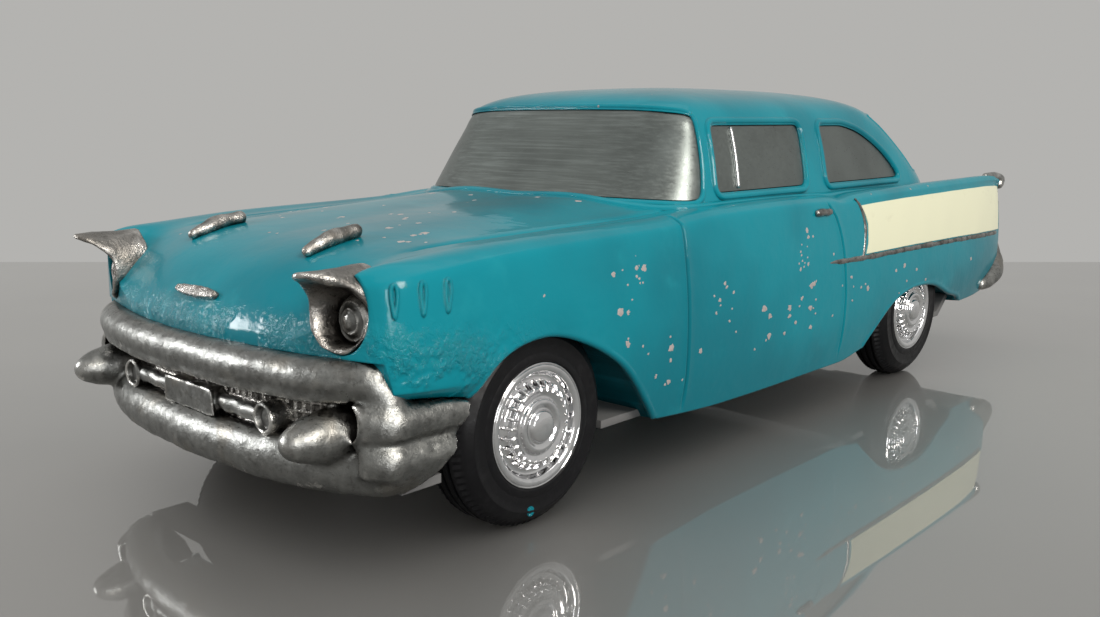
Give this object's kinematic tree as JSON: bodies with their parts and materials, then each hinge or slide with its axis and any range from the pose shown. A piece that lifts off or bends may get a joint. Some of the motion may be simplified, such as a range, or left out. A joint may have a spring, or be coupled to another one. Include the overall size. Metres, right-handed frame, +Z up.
{
  "type": "toy car",
  "caption": "Diecast two-door sedan with tail fins, chrome bumpers with bullets, hooded headlights and free-rolling wheels on two axles.",
  "frame": {"origin": "on the ground under the middle of the car's length and width", "axes": "+Z up, nose towards -Y, the car's left side towards +X"},
  "size_m": [0.0756, 0.2029, 0.0604],
  "materials": {
    "teal_paint": "thick glossy enamel over a cast body, chipped",
    "cream_paint": "satin cream enamel",
    "bare_cast": "bare zinc-alloy casting, dull pewter grey and grainy",
    "black_plate": "semi-matte black",
    "steel": "plain drawn rod and screws",
    "tyre_rubber": "solid soft rubber, slightly glossy sidewall",
    "chrome": "bright plated wheel cover",
    "black_plastic": "moulded black"
  },
  "bodies": {
    "car": {"body_shell": "teal_paint", "base_plate": "black_plate", "front_bumper": "bare_cast", "grille_insert": "bare_cast", "grille_bar": "bare_cast", "hood_badge": "bare_cast", "windscreen": "bare_cast", "rear_window": "bare_cast", "rear_bumper": "bare_cast", "parking_lamp_left": "bare_cast", "headlight_bezel_left": "bare_cast", "headlight_lens_left": "bare_cast", "hood_spear_left": "bare_cast", "door_window_left": "bare_cast", "quarter_window_left": "bare_cast", "vent_bar_left": "bare_cast", "door_handle_left": "bare_cast", "side_trim_left": "bare_cast", "fin_cap_left": "bare_cast", "tail_lamp_left": "bare_cast", "side_panel_left": "cream_paint", "parking_lamp_right": "bare_cast", "headlight_bezel_right": "bare_cast", "headlight_lens_right": "bare_cast", "hood_spear_right": "bare_cast", "door_window_right": "bare_cast", "quarter_window_right": "bare_cast", "vent_bar_right": "bare_cast", "door_handle_right": "bare_cast", "side_trim_right": "bare_cast", "fin_cap_right": "bare_cast", "tail_lamp_right": "bare_cast", "side_panel_right": "cream_paint", "base_screws": "steel"},
    "front_wheelset": {"front_axle": "steel", "tyre_front_left": "tyre_rubber", "tyre_front_right": "tyre_rubber", "wheel_disc_front_left": "chrome", "wheel_disc_front_right": "chrome", "wheel_hub_front_left": "black_plastic", "wheel_hub_front_right": "black_plastic"},
    "rear_wheelset": {"rear_axle": "steel", "tyre_rear_left": "tyre_rubber", "tyre_rear_right": "tyre_rubber", "wheel_disc_rear_left": "chrome", "wheel_disc_rear_right": "chrome", "wheel_hub_rear_left": "black_plastic", "wheel_hub_rear_right": "black_plastic"}
  },
  "joints": [
    {"name": "front_axle_spin", "type": "hinge", "parent": "car", "child": "front_wheelset", "pos_m": [0, -0.0667, 0.0142], "axis": [1, 0, 0], "continuous": true},
    {"name": "rear_axle_spin", "type": "hinge", "parent": "car", "child": "rear_wheelset", "pos_m": [0, 0.0501, 0.0142], "axis": [1, 0, 0], "continuous": true}
  ]
}
